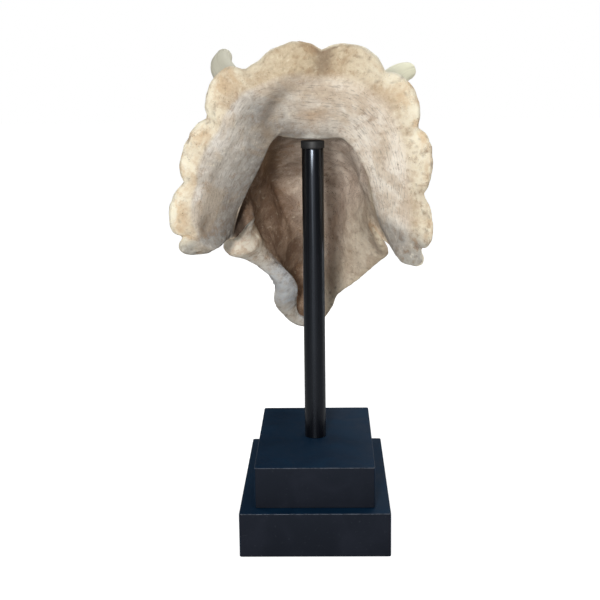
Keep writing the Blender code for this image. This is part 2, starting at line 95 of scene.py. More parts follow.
FILL_START, FILL_FULL = 120, 330

# Rings of the neck and the frill, as in the solids
RING = (0.0, 0.2, 0.4, 0.6, 0.8, 1.0)
LIP = (
    (0, 7, 608, 10), (52, 8, 606, 18), (88, 1, 561, -6),
    (109, 2, 518, -30), (124, 4, 475, -58), (139, 0, 440, -80),
)
NECK = (
    (0, 4, 562, 86), (72, 4, 556, 78), (118, 3, 526, 42),
    (140, 3, 489, 6), (148, 3, 455, -28), (137, 0, 428, -66),
)
RIM = (
    (0, -4, 739, 89), (116, 6, 719, 63), (175, 6, 655, 2),
    (201, 15, 573, -71), (203, 14, 496, -128), (170, 8, 457, -131),
)
CREASE_BUMP = ((-1.0, 14.0), (-0.35, 18.0), (0.0, 26.0), (0.3, 32.0), (1.0, 34.0))
CREASE_SHAPE = (
    (0.0, 0.0), (0.17, 0.38), (0.34, 0.66), (0.51, 0.87), (0.68, 1.0), (0.84, 0.62), (1.0, 0.14),
)
FRILL_WALL = ((0.0, 30.0), (0.35, 20.0), (0.66, 17.0), (1.0, 14.0))
FRONT_LEAN = 2.0
SCALLOP_BULGE = 19
SCALLOP_ROUND = 2.5
SCALLOP_START = 0.45
LOBES_LEFT = (0.72, 1.0, 1.0, 1.0, 1.0)
LOBES_RIGHT = (0.78, 1.0, 1.0, 1.0, 1.0)
NOTCHES_LEFT = (0.0, 0.2, 0.4, 0.6, 0.8, 1.0)
NOTCHES_RIGHT = (0.0, 0.2, 0.4, 0.6, 0.8, 1.0)
CHIP_AT = 0.157
CHIP_HALF = 0.045
CHIP_DEPTH = 0.75
FRONT_U = (0.36, 0.52, 0.68, 0.84, 1.0)
BACK_U = (0.0, 0.17, 0.34, 0.51, 0.68, 0.84, 1.0)
LIP_ROLL_MIDDLE = (27, 33)
LIP_ROLL_SIDE = (14, 18)
LIP_ROLL_END = (5, -6)
ARCH_END = 0.45
LIP_OPEN_RIGHT = ((-1.0, 17.0), (-0.5, 17.0), (-0.25, 0.0), (1.0, 0.0))
NECK_WALL = ((-1.0, 30.0), (-0.75, 44.0), (-0.5, 46.0), (-0.3, 28.0), (-0.15, 17.0), (1.0, 17.0))
END_WALL_LEFT, END_WALL_RIGHT = 11, 24
NECK_CENTRE = (4.0, 500.0, -10.0)

# Horns, as in the solids: points of the middle line and the radius at each
HORN_LEFT = (
    ((74, 346, 138), 34), ((90, 356, 186), 34), ((119, 366, 249), 34),
    ((151, 371, 308), 32), ((182, 371, 358), 27), ((202, 365, 402), 22.5), ((200, 359, 430), 17),
)
HORN_RIGHT = (
    ((-74, 346, 138), 34), ((-84, 358, 186), 33), ((-96, 378, 253), 30),
    ((-115, 388, 311), 27), ((-142, 384, 358), 24), ((-165, 375, 391), 22),
    ((-180, 366, 408), 18.5),
)
HORN_NOSE = (((5, 122, 84), 25), ((5, 112, 112), 20), ((5, 99, 140), 13), ((4, 88, 162), 4))

# Hollows of the outside, as in the solids: middle and half sizes for the left side
ORBIT = ((116, 326, 86), (16, 27, 24))
NARIS = ((50, 122, 58), (14, 27, 19))
TEMPLE = ((126, 392, 30), (12, 18, 26))

# How finely the skin is drawn: rows for each span of stations, columns round the head and rows
# across an edge. An edge swells by a share of its width.
SPANS = ((0.0, 2.0, 16), (2.0, 5.4, 30), (5.4, 10.0, 46), (10.0, None, 74))
SKIN_COLUMNS = 264
EDGE_ROWS = 7
EDGE_FULLNESS, RIM_FULLNESS = 0.3, 0.36

# Where the hollow's wall runs on into the frill on the right, and how thin the edge is there
WAIST = (8.7, 12.9)
EDGE_DRAWN = 0.62

# Place of the lip along the inner sheet, and the spans from there to the rim
LIP_AT, BACK_SPANS = 12, 6

# Noise of the relief: size in mm, seed, layers, height in mm
LUMPS = (70.0, 3, 3, 2.0)
UNEVEN = (16.0, 11, 3, 0.8)
HOLLOW_LUMPS = (40.0, 23, 3, 2.5)
RIM_LUMPS = (22.0, 31, 2, 1.6)

# Heights and depths of the relief, in mm
NOTCH_DEPTH, STEP_DEPTH = 0.7, 1.4
RIDGE_HEIGHT, RIDGE_PHASE = 0.35, 46
GROOVE_DEPTH, POCKET_DEPTH = 4.0, 7.0
RIB_HEIGHT, RIB_PAIRS = 1.5, 5
VESSEL_DEPTH, VEIN_DEPTH, PIT_DEPTH = 1.3, 1.0, 1.5
BEAK_SEAM_DEPTH, MIDDLE_SEAM_DEPTH = 1.8, 0.9
CHEEK_BOSS, KNOB_HEIGHT, CRACK_DEPTH = 5.0, 12.0, 3.0

# Sockets: hollow, depth and height of the rim
SOCKETS = ((ORBIT, 13.0, 3.5), (NARIS, 9.0, 1.8), (TEMPLE, 11.0, 2.0))
# Swellings of brow, cheek and jaw: height, then middle and half width in s, |x| and h. An endless
# half width leaves that direction out.
SWELLINGS = (
    (5.0, (338, 34), (86, 26), (136, 30)),
    (4.0, (300, 75), (0, math.inf), (14, 15)),
    (2.2, (190, 70), (0, math.inf), (22, 9)),
)
# Bosses at the horns' roots: horn, reach and height
BOSSES = ((HORN_LEFT, 30.0, 8.0), (HORN_RIGHT, 30.0, 8.0), (HORN_NOSE, 17.0, 5.0))
BOSS_SLOPE = 34
# Folds down the hollow: height, theta, half width, and the places where they start and are full
FOLDS = ((-6.0, 0.30, 0.045, 4.5, 7.0), (5.0, 0.45, 0.08, 4.5, 7.0), (-4.0, 0.62, 0.05, 5.5, 8.0))

# Horns: rings along, points round, rings of the end, flare of the root and its fade
HORN_RINGS, HORN_SIDES, CAP_RINGS = 110, 72, 7
ROOT_FLARE, FLARE_FADE = 0.12, 9

# Noise of the bone's finish: scale, detail, roughness and warp
BONE_NOISE = {
    "broad": (7.0, 4.0, 0.55, 0.4),
    "patch": (24.0, 5.0, 0.62, 0.5),
    "blotch": (70.0, 5.0, 0.65, 0.3),
    "fine": (190.0, 5.0, 0.7),
    "specks": (480.0, 3.0, 0.7),
    "drift": (15.0, 4.0, 0.6, 0.6),
}
# Grounds of the bone: the noise that parts two colours, from where to where, the colours
BONE_TONES = {
    "cream": ("patch", 0.38, 0.62, (222, 208, 184), (198, 180, 156)),
    "pale": ("patch", 0.42, 0.66, (245, 238, 216), (222, 198, 164)),
    # tan: painted shade, for the darker top of the frill's rear
    "tan": ("patch", 0.40, 0.62, (196, 178, 149), (170, 146, 116)),
    # stone and sand: one colour in shade and in light, for the shaded left wall and the lit right
    # wall
    "stone": ("patch", 0.40, 0.62, (216, 210, 201), (188, 180, 169)),
    "sand": ("patch", 0.40, 0.62, (252, 243, 229), (230, 216, 199)),
    # silt: painted shade on the arch's wall
    "silt": ("patch", 0.40, 0.62, (186, 170, 148), (154, 137, 116)),
    # ash: a grey wash, with painted shade near the lip and at the low ends
    "ash": ("blotch", 0.35, 0.65, (164, 162, 158), (136, 132, 127)),
    # umber and clay: the hollow's colour in shade and in light, for its shaded left side and lit
    # right side
    "umber": ("patch", 0.36, 0.60, (160, 138, 119), (116, 94, 77)),
    "clay": ("patch", 0.36, 0.64, (234, 220, 205), (206, 188, 172)),
    # painted cool light: pale bluish along the face's lower edges
    "cool_light_edge": ("broad", 0.42, 0.58, (214, 219, 224), (212, 206, 196)),
    # the knob's pale end, made lighter still as painted light
    "pale_and_lit_end": ("blotch", 0.40, 0.60, (250, 240, 222), (232, 212, 188)),
}
# Stains, wear, painted shade and a painted shadow that lie over the grounds
BONE_STAINS = {
    "brown": (156, 124, 94), "rubbed": (238, 228, 206), "ochre": (196, 174, 146),
    "rust": (186, 154, 120), "shadow_band": (92, 80, 68), "damp": (88, 62, 48),
    "lines": (132, 122, 112), "grime": (104, 84, 68), "recess_dark_and_shade": (108, 86, 68),
    "cleft_shade": (64, 52, 44), "plaster": (240, 237, 226),
}
OVERLAY_SHARE = 0.32

# Camera of the photograph: angles in degrees, place in metres, lens and sensor in mm
CAMERA_PITCH, CAMERA_ROLL, CAMERA_YAW = 11.35, -0.72, -1.38
CAMERA_AT = (-0.02518, 2.0904, 0.8184)
LENS, SENSOR = 72.0, 36.0

# Lamps: degrees from the camera's side towards its left and above the horizon, distance and size
# in metres, power in watts, colour
LAMPS_AIM = (0.0, 0.0, 0.55)
LAMPS = {
    "key": (6.5, 11, 2.8, (0.28, 0.28), 66.0, (1.0, 0.985, 0.96)),
    "ceiling": (-20, 66, 2.6, (1.6, 1.6), 14.0, (0.88, 0.94, 1.0)),
    "right_back": (-115, 12, 2.2, (0.25, 1.6), 15.0, (1.0, 0.99, 0.97)),
    "left_front": (122, 22, 2.6, (0.8, 1.2), 15.0, (1.0, 1.0, 1.0)),
    "front": (-165, 45, 2.8, (1.4, 1.4), 32.0, (1.0, 1.0, 1.0)),
}
SURROUND, SURROUND_STRENGTH = (0.93, 0.96, 1.0, 1.0), 0.09
WHITE = (1.0, 1.0, 1.0, 1.0)

# Floor: reach and depth in metres, grey, and glow from near to far
FLOOR_REACH, FLOOR_DROP = 14.0, 0.0002
FLOOR_GREY = (0.36, 0.36, 0.36, 1.0)
FLOOR_GLOW = (0.4, 1.5, 0.84, 1.1)


def cubic(x, y, at):
    """Natural cubic through y at the knots x: the straight line between two knots plus the bend
    term (a cubed minus a) times the second slope, with a running from one to nought."""
    n = len(x)
    h = np.diff(x)
    system = np.eye(n)
    right = np.zeros_like(y)
    for i in range(1, n - 1):
        system[i, i - 1:i + 2] = h[i - 1], 2 * (h[i - 1] + h[i]), h[i]
        right[i] = 6 * ((y[i + 1] - y[i]) / h[i] - (y[i] - y[i - 1]) / h[i - 1])
    bend = np.linalg.solve(system, right.reshape(n, -1)).reshape(y.shape)
    i = np.clip(np.searchsorted(x, at) - 1, 0, n - 2)
    extra = (1,) * (y.ndim - 1)
    step = h[i].reshape(at.shape + extra)
    a = ((x[i + 1] - at) / h[i]).reshape(at.shape + extra)
    b = 1 - a
    curve = ((a ** 3 - a) * bend[i] + (b ** 3 - b) * bend[i + 1]) * step ** 2 / 6
    return a * y[i] + b * y[i + 1] + curve


def both_sides(places, left, right, rest, theta):
    """A curve round the head, of which x differs on the left and on the right."""
    places = np.array(places)
    pairs = ((-places, places), (right, left), (rest, rest))
    knots, x, others = [np.concatenate([r[:0:-1], l]) for r, l in pairs]
    return cubic(knots, np.column_stack([x, others]), theta)


def ring(points, theta):
    """A ring of the neck or the frill from its (half width, mid, s, height) points."""
    data = np.asarray(points, float)
    return both_sides(RING, data[:, 1] + data[:, 0], data[:, 1] - data[:, 0], data[:, 2:], theta)


def face_section(station, theta, inside, set_back):
    """One station curve of the face, the outside or the same drawn in by the wall."""
    s, mid, roof, brow, side, low, edge, wall, ledges, flare = station
    width = [0, brow[0], side[0], low[0], edge[0]]
    height = [roof, brow[1], side[1], low[1], edge[1]]
    left = right = width
    if inside:
        drawn = [0, brow[0] - 0.8 * wall, side[0] - wall, low[0] - 1.1 * wall]
        left, right = [drawn + [edge[0] - ledge] for ledge in ledges]
        fill = np.clip((s - FILL_START) / (FILL_FULL - FILL_START), 0, 1)
        right = np.array(right, float) - fill * np.array(RIGHT_FILL, float)
        height = [roof - wall, brow[1] - wall, side[1] - 0.3 * wall, low[1] + 2, edge[1] + 5]
    right = np.array(right, float) + flare * np.array(RIGHT_FLARE)
    rest = np.column_stack([np.full(5, s + set_back), height])
    return both_sides(COLUMNS, mid + np.array(left, float), mid - right, rest, theta)


def scallops(theta):
    """Bulge of the rim: one minus |2t - 1| to a power across each lobe, less a bell at the chip."""
    bulge = np.zeros_like(theta)
    for sign, notches, sizes in ((1, NOTCHES_LEFT, LOBES_LEFT), (-1, NOTCHES_RIGHT, LOBES_RIGHT)):
        for start, end, size in zip(notches[:-1], notches[1:], sizes):
            inside = (theta * sign >= start) & (theta * sign <= end)
            along = (theta * sign - start) / (end - start)
            arc = size * (1 - np.abs(2 * along - 1) ** SCALLOP_ROUND)
            bulge = np.where(inside, arc, bulge)
    return bulge - CHIP_DEPTH * np.exp(-((theta - CHIP_AT) / CHIP_HALF) ** 2)


def unit(vectors):
    """Vectors divided by their length."""
    length = np.linalg.norm(vectors, axis=-1, keepdims=True)
    return vectors / np.maximum(length, 1e-9)


def frill_back(u, theta):
    """Rear of the frill: lip plus u times (rim minus lip), plus the crease and the scallops."""
    lip = ring(LIP, theta)[None]
    rim = ring(RIM, theta)[None]
    shape = np.interp(u, *zip(*CREASE_SHAPE))[:, None, None]
    rise = np.clip((u - SCALLOP_START) / (1 - SCALLOP_START), 0, 1)[:, None, None] ** 2
    outward = unit(rim - lip)
    bulge = SCALLOP_BULGE * scallops(theta)[None, :, None] * rise
    line = lip + (rim - lip) * u[:, None, None]
    height = np.interp(theta, *zip(*CREASE_BUMP))[None, :, None]
    return line + height * shape * BACKWARD + bulge * outward


def frill_front(u, theta):
    """Front of the frill: the rear moved forward along its normal by the wall."""
    back = frill_back(u, theta)
    along = np.gradient(back, axis=0)
    across = np.gradient(back, axis=1)
    normal = unit(np.cross(across, along))
    facing = -np.sign(np.sum(normal * BACKWARD, -1, keepdims=True))
    normal = unit(normal * facing - FRONT_LEAN * BACKWARD)
    wall = np.interp(u, *zip(*FRILL_WALL))[:, None, None]
    return back + normal * wall


def outer_stations(theta):
    """Station curves of the outside, from the beak tip to the rim."""
    tip = np.tile([0.0, BEAK_FRONT[0], BEAK_FRONT[1]], (len(theta), 1))
    face = [face_section(row, theta, False, 0) for row in FACE]
    front = frill_front(np.array(FRONT_U), theta)
    return np.array([tip] + face + [ring(NECK, theta)] + list(front))


def inner_stations(theta):
    """Station curves of the inside, from the front of the hollow over the lip to the rim."""
    tip = np.tile([0.0, CAVITY_FRONT[0], CAVITY_FRONT[1]], (len(theta), 1))
    face = [face_section(row, theta, True, back) for row, back in zip(FACE, CAVITY_SET_BACK)]
    neck = ring(NECK, theta)
    lip = ring(LIP, theta)
    centre = np.array(NECK_CENTRE)
    inward = unit((centre - neck) * [1, 0, 1])
    outward = -unit((centre - lip) * [1, 0, 1])
    end = np.abs(theta)[:, None] ** 6
    thick = np.interp(theta, *zip(*NECK_WALL))[:, None]
    end_wall = np.where(theta < 0, END_WALL_RIGHT, END_WALL_LEFT)[:, None]
    inner_neck = neck + inward * (thick * (1 - end) + end_wall * end)
    inner_neck += np.array([0.0, -10.0, 0.0]) * (1 - end) + np.array([0.0, 0.0, -4.0]) * end
    middle = np.cos(np.clip(theta / ARCH_END, -1, 1) * np.pi / 2)[:, None] ** 2
    ahead, out = [s + (m - s) * middle for s, m in zip(LIP_ROLL_SIDE, LIP_ROLL_MIDDLE)]
    out = out - np.interp(theta, *zip(*LIP_OPEN_RIGHT))[:, None]
    ahead, out = [part * (1 - end) + last * end for part, last in zip((ahead, out), LIP_ROLL_END)]
    roll = lip + outward * out + np.array([0.0, -1.0, 0.0]) * ahead
    back = frill_back(np.array(BACK_U), theta)
    return np.array([tip] + face + [inner_neck, roll] + list(back))


def loft(stations, places):
    """Rows of the cubic surface through the station curves, at places counted in stations."""
    steps = np.linalg.norm(np.diff(stations, axis=0), axis=-1).mean(axis=1)
    knots = np.concatenate([[0], np.cumsum(np.sqrt(steps))])
    at = np.interp(places, np.arange(len(knots)), knots)
    return cubic(knots, stations, at)


def even_places(stations, spans):
    """Row places, evenly spaced along the surface within each span of stations."""
    places = []
    for start, end, rows in spans:
        end = len(stations) - 1 if end is None else end
        fine = np.linspace(start, end, 300)
        steps = np.linalg.norm(np.diff(loft(stations, fine), axis=0), axis=-1).mean(axis=1)
        length = np.concatenate([[0], np.cumsum(steps)])
        last = end == len(stations) - 1
        places.append(np.interp(np.linspace(0, length[-1], rows, endpoint=last), length, fine))
    return np.concatenate(places)


def lattice(i, j, k, seed):
    """A pseudo-random number from 0 to 1 at each whole-numbered point, by mixing its digits."""
    n = (i * 374761393 + j * 668265263 + k * 2147483647 + seed * 1274126177) & 0xFFFFFFFF
    n = ((n ^ (n >> 13)) * 1103515245) & 0xFFFFFFFF
    n = ((n ^ (n >> 16)) * 2654435761) & 0xFFFFFFFF
    return ((n ^ (n >> 15)) & 0xFFFFFF) / float(0xFFFFFF)


def soft_noise(points, size, seed):
    """Smoothly interpolated lattice noise from -1 to 1, with bumps about one size apart."""
    cell = np.floor(points / size).astype(np.int64)
    f = points / size - cell
    f = f * f * f * (f * (f * 6 - 15) + 10)
    total = np.zeros(len(points))
    for corner in np.ndindex(2, 2, 2):
        weight = np.prod(np.where(corner, f, 1 - f), axis=1)
        total += weight * lattice(*(cell + corner).T, seed)
    return total * 2 - 1


def layered_noise(points, size, seed, layers, height=1):
    """Sum of soft noises, each half the size and half the height of the one before."""
    total = np.zeros(len(points))
    for layer in range(layers):
        total += soft_noise(points, size / 2 ** layer, seed + 17 * layer) / 2 ** layer
    return total * height


def bell(distance, half):
    """A smooth bump: one at nought, fading as the exponential of minus the square."""
    return np.exp(-(distance / half) ** 2)


def ramp(value, low, high):
    """Smooth step from nought at low to one at high."""
    t = np.clip((value - low) / (high - low), 0, 1)
    return t * t * (3 - 2 * t)


def head_to_world(points):
    """Points of the head's axes, in mm, turned nose down and rolled, then moved to the beak tip."""
    c, s = math.cos(NOSE_DOWN), math.sin(NOSE_DOWN)
    nod = np.array([[1, 0, 0], [0, c, -s], [0, s, c]])
    c, s = math.cos(HEAD_ROLL), math.sin(HEAD_ROLL)
    roll = np.array([[c, 0, s], [0, 1, 0], [-s, 0, c]])
    return points @ (roll @ nod).T * MM + BEAK_TIP


def make_piece(name, points, quads, finish, attributes=None, uv=None):
    """A smooth mesh object from points in metres and quads, with values per point and a finish."""
    mesh = bpy.data.meshes.new(name)
    mesh.from_pydata(points.tolist(), [], [list(dict.fromkeys(q)) for q in quads.tolist()])
    mesh.validate()
    mesh.polygons.foreach_set("use_smooth", np.ones(len(mesh.polygons), bool))
    for key, values in (attributes or {}).items():
        layer = mesh.attributes.new(key, "FLOAT", "POINT")
        layer.data.foreach_set("value", np.asarray(values, np.float32))
    if uv is not None:
        corner = np.empty(len(mesh.loops), np.int64)
        mesh.loops.foreach_get("vertex_index", corner)
        layer = mesh.uv_layers.new(name="along")
        layer.data.foreach_set("uv", np.asarray(uv, np.float32)[corner].ravel())
    mesh.materials.append(finish)
    mesh.update()
    piece = bpy.data.objects.new(name, mesh)
    bpy.context.scene.collection.objects.link(piece)
    return piece


def grid_quads(index):
    """The quads of a grid of point numbers, in the order that turns them outwards."""
    a, b, c, d = index[:-1, :-1], index[1:, :-1], index[1:, 1:], index[:-1, 1:]
    return np.stack([a, d, c, b], -1).reshape(-1, 4)


def point_normals(points, quads):
    """Normal at each point: the sum of the cross products of its quads' diagonals."""
    a, b, c, d = points[quads.T]
    normals = np.zeros_like(points)
    for corner in quads.T:
        np.add.at(normals, corner, np.cross(c - a, d - b))
    return unit(normals)


def swelling_edge(a, b, out, fullness):
    """Points across an edge: the straight line from a to b plus a half sine outwards."""
    share = np.linspace(0, 1, EDGE_ROWS + 2)[1:-1, None]
    width = np.linalg.norm(b - a, axis=-1, keepdims=True)[:, None]
    line = a[:, None] + (b - a)[:, None] * share
    return line + unit(out)[:, None] * np.sin(np.pi * share) * width * fullness


def bridge_waist(inner, outer, places, theta):
    """On the right the hollow's wall runs on into the frill: there the rows follow a cubic that
    leaves and meets the sheet along its own slope, and their ends are drawn outwards."""
    start, end = np.searchsorted(places, WAIST)
    span = inner[end] - inner[start]
    reach = np.linalg.norm(span, axis=-1, keepdims=True)
    leave = unit(inner[start] - inner[start - 2]) * reach
    meet = unit(inner[end + 2] - inner[end]) * reach
    t = np.linspace(0, 1, end - start + 1)[:, None, None]
    curve = (2 * t ** 3 - 3 * t ** 2 + 1) * inner[start] + (t ** 3 - 2 * t ** 2 + t) * leave
    curve = curve + (3 * t ** 2 - 2 * t ** 3) * inner[end] + (t ** 3 - t ** 2) * meet
    share = ramp(-theta, 0.5, 0.74)[None, :, None]
    bridged = inner.copy()
    bridged[start:end + 1] = inner[start:end + 1] * (1 - share) + curve * share
    thin = EDGE_DRAWN * ramp(places, 8.4, 9.6) * (1 - ramp(places, 11.4, 12.8))
    to_edge = (outer[:, 0] - bridged[:, 0]) * thin[:, None]
    return bridged + to_edge[:, None] * ramp(-theta, 0.78, 1.0)[None, :, None]


def skin_grid():
    """The closed skin: the outer and the inner sheet and the strips that join them along both lower
    edges and round the rim. Returns points in head mm, quads and the values at each point."""
    theta = np.linspace(-1, 1, SKIN_COLUMNS + 1)
    outer_curves = outer_stations(theta)
    inner_curves = inner_stations(theta)
    outer_at = even_places(outer_curves, SPANS)
    inner_at = even_places(inner_curves, SPANS)
    outer = loft(outer_curves, outer_at)
    inner = bridge_waist(loft(inner_curves, inner_at), outer, inner_at, theta)
    parts = []

    def add(block, *values):
        """Keeps a block of points with its values, and returns the numbers of its points."""
        first = sum(len(part[0]) for part in parts)
        shape = block.shape[:-1]
        values = [np.broadcast_to(value, shape).ravel() for value in values]
        parts.append([block.reshape(-1, 3)] + values)
        return first + np.arange(shape[0] * shape[1]).reshape(shape)

    o = add(outer, outer_at[:, None], 0.0, theta[None])
    i = add(inner, inner_at[:, None], 1.0, theta[None])
    across = np.linspace(0, 1, EDGE_ROWS + 2)[1:-1][None]
    right = swelling_edge(outer[:, 0], inner[:, 0], outer[:, 0] - outer[:, 1], EDGE_FULLNESS)
    left = swelling_edge(outer[:, -1], inner[:, -1], outer[:, -1] - outer[:, -2], EDGE_FULLNESS)
    place = np.where(across > 0.5, inner_at[:, None], outer_at[:, None])
    r = add(right, place, across, -1.0)
    l = add(left, place, across, 1.0)
    rim = swelling_edge(outer[-1], inner[-1], outer[-1] - outer[-2], RIM_FULLNESS)
    m = add(rim, np.where(across > 0.5, inner_at[-1], outer_at[-1]), across, theta[:, None])
    m[0] = r[-1]
    m[-1] = l[-1]
    quads = [
        grid_quads(o),
        grid_quads(i[:, ::-1]),
        grid_quads(np.concatenate([i[:, :1], r[:, ::-1], o[:, :1]], 1)),
        grid_quads(np.concatenate([o[:, -1:], l, i[:, -1:]], 1)),
        grid_quads(np.concatenate([o[-1][:, None], m, i[-1][:, None]], 1).T),
    ]
    points, *values = [np.concatenate(column) for column in zip(*parts)]
    return points, np.concatenate(quads), dict(zip(("at", "inside", "theta"), values))


def weld_ends(points, quads):
    """Moves the quads of points within a hundredth of a mm of each other to one of them."""
    key = np.round(points / 0.01).astype(np.int64)
    _, first, back = np.unique(key, axis=0, return_index=True, return_inverse=True)
    quads = first[back.ravel()][quads]
    used = np.unique(quads)
    quads = np.searchsorted(used, quads)
    spread = (quads != np.roll(quads, 1, axis=1)).sum(axis=1)
    return quads[spread >= 3], used


def zones(points, values):
    """Shares from nought to one: on which part of the skin and in which feature a point is."""
    z = SimpleNamespace(**values)
    z.x, z.s, z.h = points.T
    z.aside = np.abs(z.x)
    z.outside = 1 - ramp(z.inside, 0.0, 0.4)
    z.within = ramp(z.inside, 0.6, 1.0)
    z.left = ramp(z.theta, -0.15, 0.35)
    z.back_u = np.clip((z.at - LIP_AT) / BACK_SPANS, 0, 1)
    z.wall_back = z.within * ramp(z.at, 11.2, 12.2)
    z.hollow = z.within * (1 - ramp(z.at, 10.4, 11.2))
    z.face_out = z.outside * (1 - ramp(z.at, 9.5, 10.5))
    z.frill_out = z.outside * ramp(z.at, 10.0, 11.0)
    notches = np.array([-n for n in NOTCHES_RIGHT[1:-1]] + list(NOTCHES_LEFT[:-1]))
    z.from_notch = np.min(np.abs(z.theta[:, None] - notches), axis=1)
    z.rim_side = np.where(z.inside > 0.5, ramp(z.back_u, 0.62, 1.0), ramp(z.at, 12.6, 15.0))
    z.edges = ramp(np.abs(z.theta), 0.86, 1.0)
    pitted = np.clip(0.25 + 0.5 * z.rim_side + 0.6 * z.edges + 0.3 * z.face_out, 0, 1)
    z.pits = ramp(layered_noise(points, 7.0, 71, 2), 0.62, 0.95) * pitted
    z.groove = bell(z.theta + 0.012, 0.022) * ramp(z.back_u, 0.55, 0.95) * z.wall_back
    z.pocket = bell(z.theta - 0.80, 0.07) * bell(z.back_u - 0.55, 0.16) * z.wall_back
    z.low_left = ramp(z.theta, 0.80, 0.93) * ramp(z.inside, -0.5, 0.3)
    z.knob = bell(z.s - 346, 34) * z.low_left
    cracks = bell(layered_noise(points * [1.0, 1.0, 2.2], 26.0, 91, 3), 0.045)
    z.cracks = cracks * z.knob * ramp(z.s, 335, 350)
    return z


def frill_relief(points, z):
    """Rear of the frill: shallow grooves from the notches, dimpled lobes, a step below the left
    ones, faint ridges along the opening, a groove from the top notch and a pocket low on the left.
    Front: ribs, a cosine round the frill, and vessel grooves that run out to the rim."""
    move = layered_noise(points, *RIM_LUMPS) * z.rim_side
    move -= NOTCH_DEPTH * bell(z.from_notch, 0.014) * z.rim_side
    step = ramp(z.theta, 0.05, 0.3) * bell(z.back_u - 0.80, 0.05) * z.wall_back
    move -= STEP_DEPTH * step * (0.6 + 0.4 * layered_noise(points, 60.0, 5, 2))
    ridges = np.sin(z.back_u * RIDGE_PHASE + 3.0 * layered_noise(points, 80.0, 41, 2))
    near_lip = z.wall_back * (1 - ramp(z.back_u, 0.45, 0.7)) * bell(z.theta, 0.42)
    move += RIDGE_HEIGHT * ridges * near_lip
    move -= GROOVE_DEPTH * z.groove + POCKET_DEPTH * z.pocket
    ribs = np.cos(z.theta * RIB_PAIRS * math.pi) * ramp(z.at, 11.0, 14.0)
    vessels = layered_noise(np.column_stack([z.theta * 260, z.at * 9, z.x * 0.1]), 24.0, 51, 2)
    return move + (RIB_HEIGHT * ribs - VESSEL_DEPTH * bell(vessels, 0.07)) * z.frill_out


def face_relief(points, z):
    """Outside of the face: sockets with rims, swellings, bosses at the horns' roots, the seams of
    beak and roof, fine veins, and the cracked knob of the left cheek."""
    move = np.zeros(len(points))
    for hollow, depth, lip in SOCKETS:
        middle, half = np.array(hollow, float)
        distance = np.hypot(*((points - middle) / half).T[1:])
        reach = middle[0]
        sideways = z.face_out * ramp(z.aside, 0.35 * reach, 0.6 * reach)
        move -= depth * (1 - ramp(distance, 0.55, 1.08)) * sideways
        move += lip * bell(distance - 1.28, 0.25) * sideways
    for height, *spans in SWELLINGS:
        swelling = height * z.face_out
        for value, (place, half) in zip((z.s, z.aside, z.h), spans):
            swelling = swelling * bell(value - place, half)
        move += swelling
    boss = bell(z.s - 338, 20) * bell(z.h + 20, 16) * ramp(z.aside, 110, 130)
    move += CHEEK_BOSS * boss * z.face_out
    for path, reach, height in BOSSES:
        root, above = (np.array(point, float) for point, _ in path[:2])
        way = unit(above - root)
        offset = points - root
        away = np.linalg.norm(offset - (offset @ way)[:, None] * way, axis=1)
        near = 1 - ramp(away, reach, reach + BOSS_SLOPE)
        move += height * near * z.face_out * ramp(z.h, 40, 80)
    beak_seam = bell(z.s - 0.35 * z.h - 66, 3.0) * (1 - ramp(z.at, 2.6, 3.4))
    move -= BEAK_SEAM_DEPTH * beak_seam * z.face_out
    move -= MIDDLE_SEAM_DEPTH * bell(z.x - 4, 2.6) * ramp(z.s, 140, 170) * z.outside
    move -= VEIN_DEPTH * bell(layered_noise(points, 46.0, 57, 2), 0.05) * z.face_out
    return move + KNOB_HEIGHT * bell(z.s - 333, 26) * z.low_left - CRACK_DEPTH * z.cracks


def relief(points, z):
    """How far each point of the skin moves along its normal, in mm: lumps all over and in the
    hollow, folds down the hollow, the forms of frill and face, and pits."""
    move = layered_noise(points, *LUMPS) * (0.5 + 0.5 * z.within)
    move += layered_noise(points, *UNEVEN) * (1 - 0.5 * z.wall_back)
    move += layered_noise(points * [1.0, 0.45, 0.6], *HOLLOW_LUMPS) * z.hollow
    for height, turn, half, start, full in FOLDS:
        move += height * bell(z.theta - turn, half) * z.hollow * ramp(z.at, start, full)
    return move + frill_relief(points, z) + face_relief(points, z) - PIT_DEPTH * z.pits


